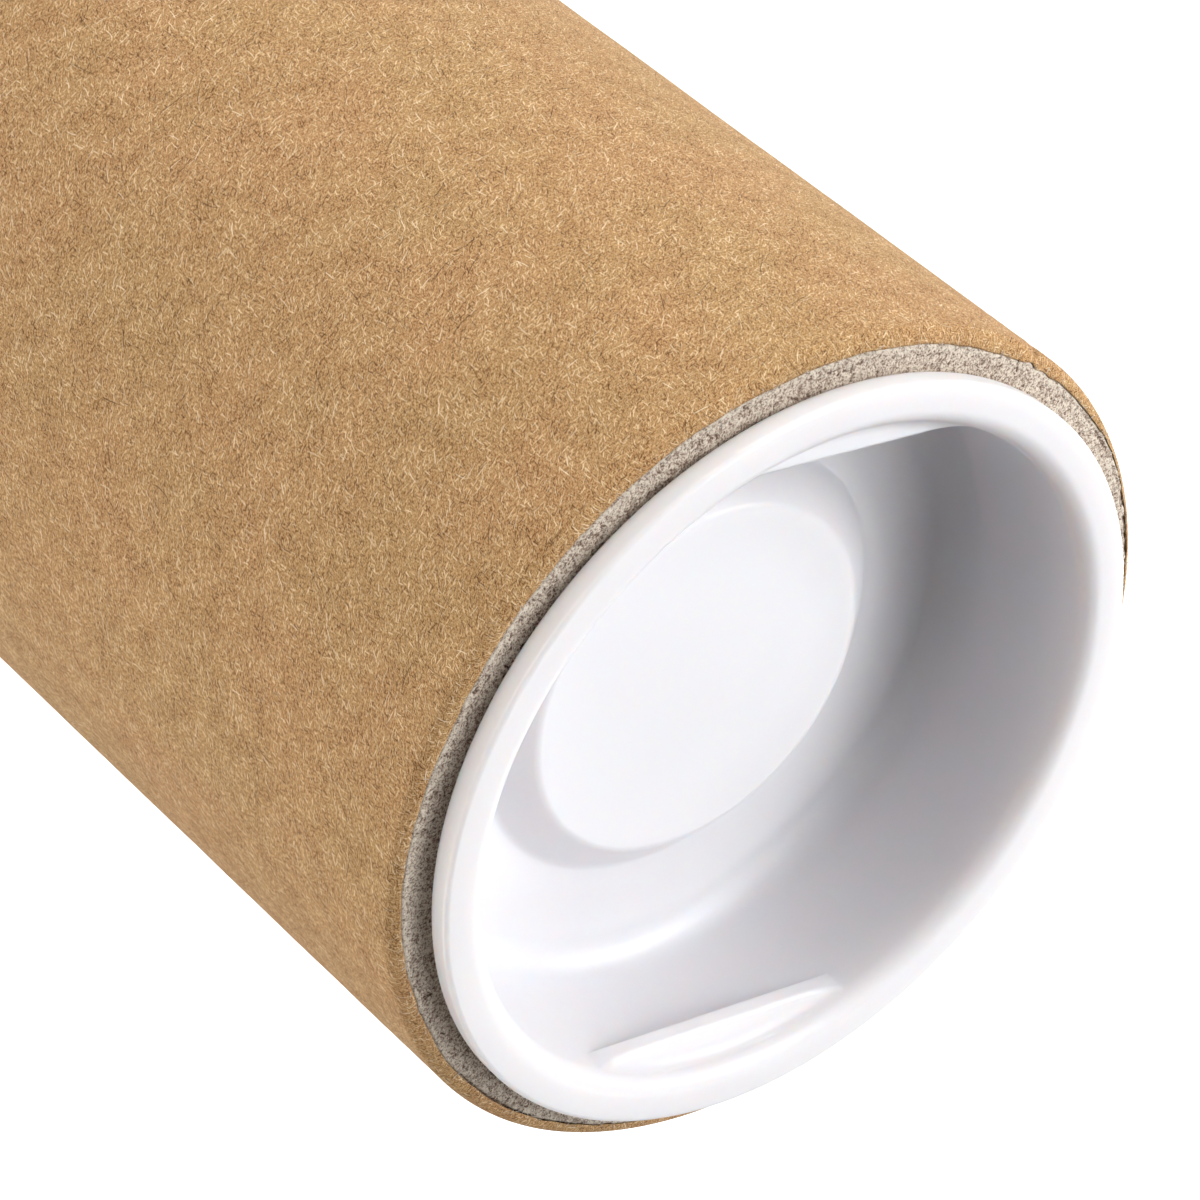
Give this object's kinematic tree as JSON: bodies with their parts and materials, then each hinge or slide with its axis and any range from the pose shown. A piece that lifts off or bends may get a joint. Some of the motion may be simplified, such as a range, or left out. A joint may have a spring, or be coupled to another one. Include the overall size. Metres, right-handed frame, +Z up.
{
  "type": "mailing tube",
  "caption": "Round paperboard mailing tube with a brown paper outside, closed by white push-in plastic end caps that have a rounded rim, a stepped recess and finger webs.",
  "frame": {"origin": "on the tube's axis, at the flat land of the lower cap's rim that the tube stands on", "axes": "+Z up along the tube's axis, +X towards one finger web of each cap"},
  "size_m": [0.058, 0.058, 0.309],
  "materials": {
    "chipboard": "rough cut grey board",
    "brown_paper": "matt brown paper with short fibres",
    "cap_plastic": "smooth moulded white polyethylene"
  },
  "bodies": {
    "tube": {"chipboard_tube": "chipboard", "paper_wrap": "brown_paper"},
    "upper_cap": {"top_cap": "cap_plastic"},
    "lower_cap": {"bottom_cap": "cap_plastic"}
  },
  "joints": [
    {"name": "top_cap_pull", "type": "slide", "parent": "tube", "child": "upper_cap", "axis": [0, 0, 1], "range_m": [0, 0.02]},
    {"name": "bottom_cap_pull", "type": "slide", "parent": "tube", "child": "lower_cap", "axis": [0, 0, -1], "range_m": [0, 0.02]}
  ]
}
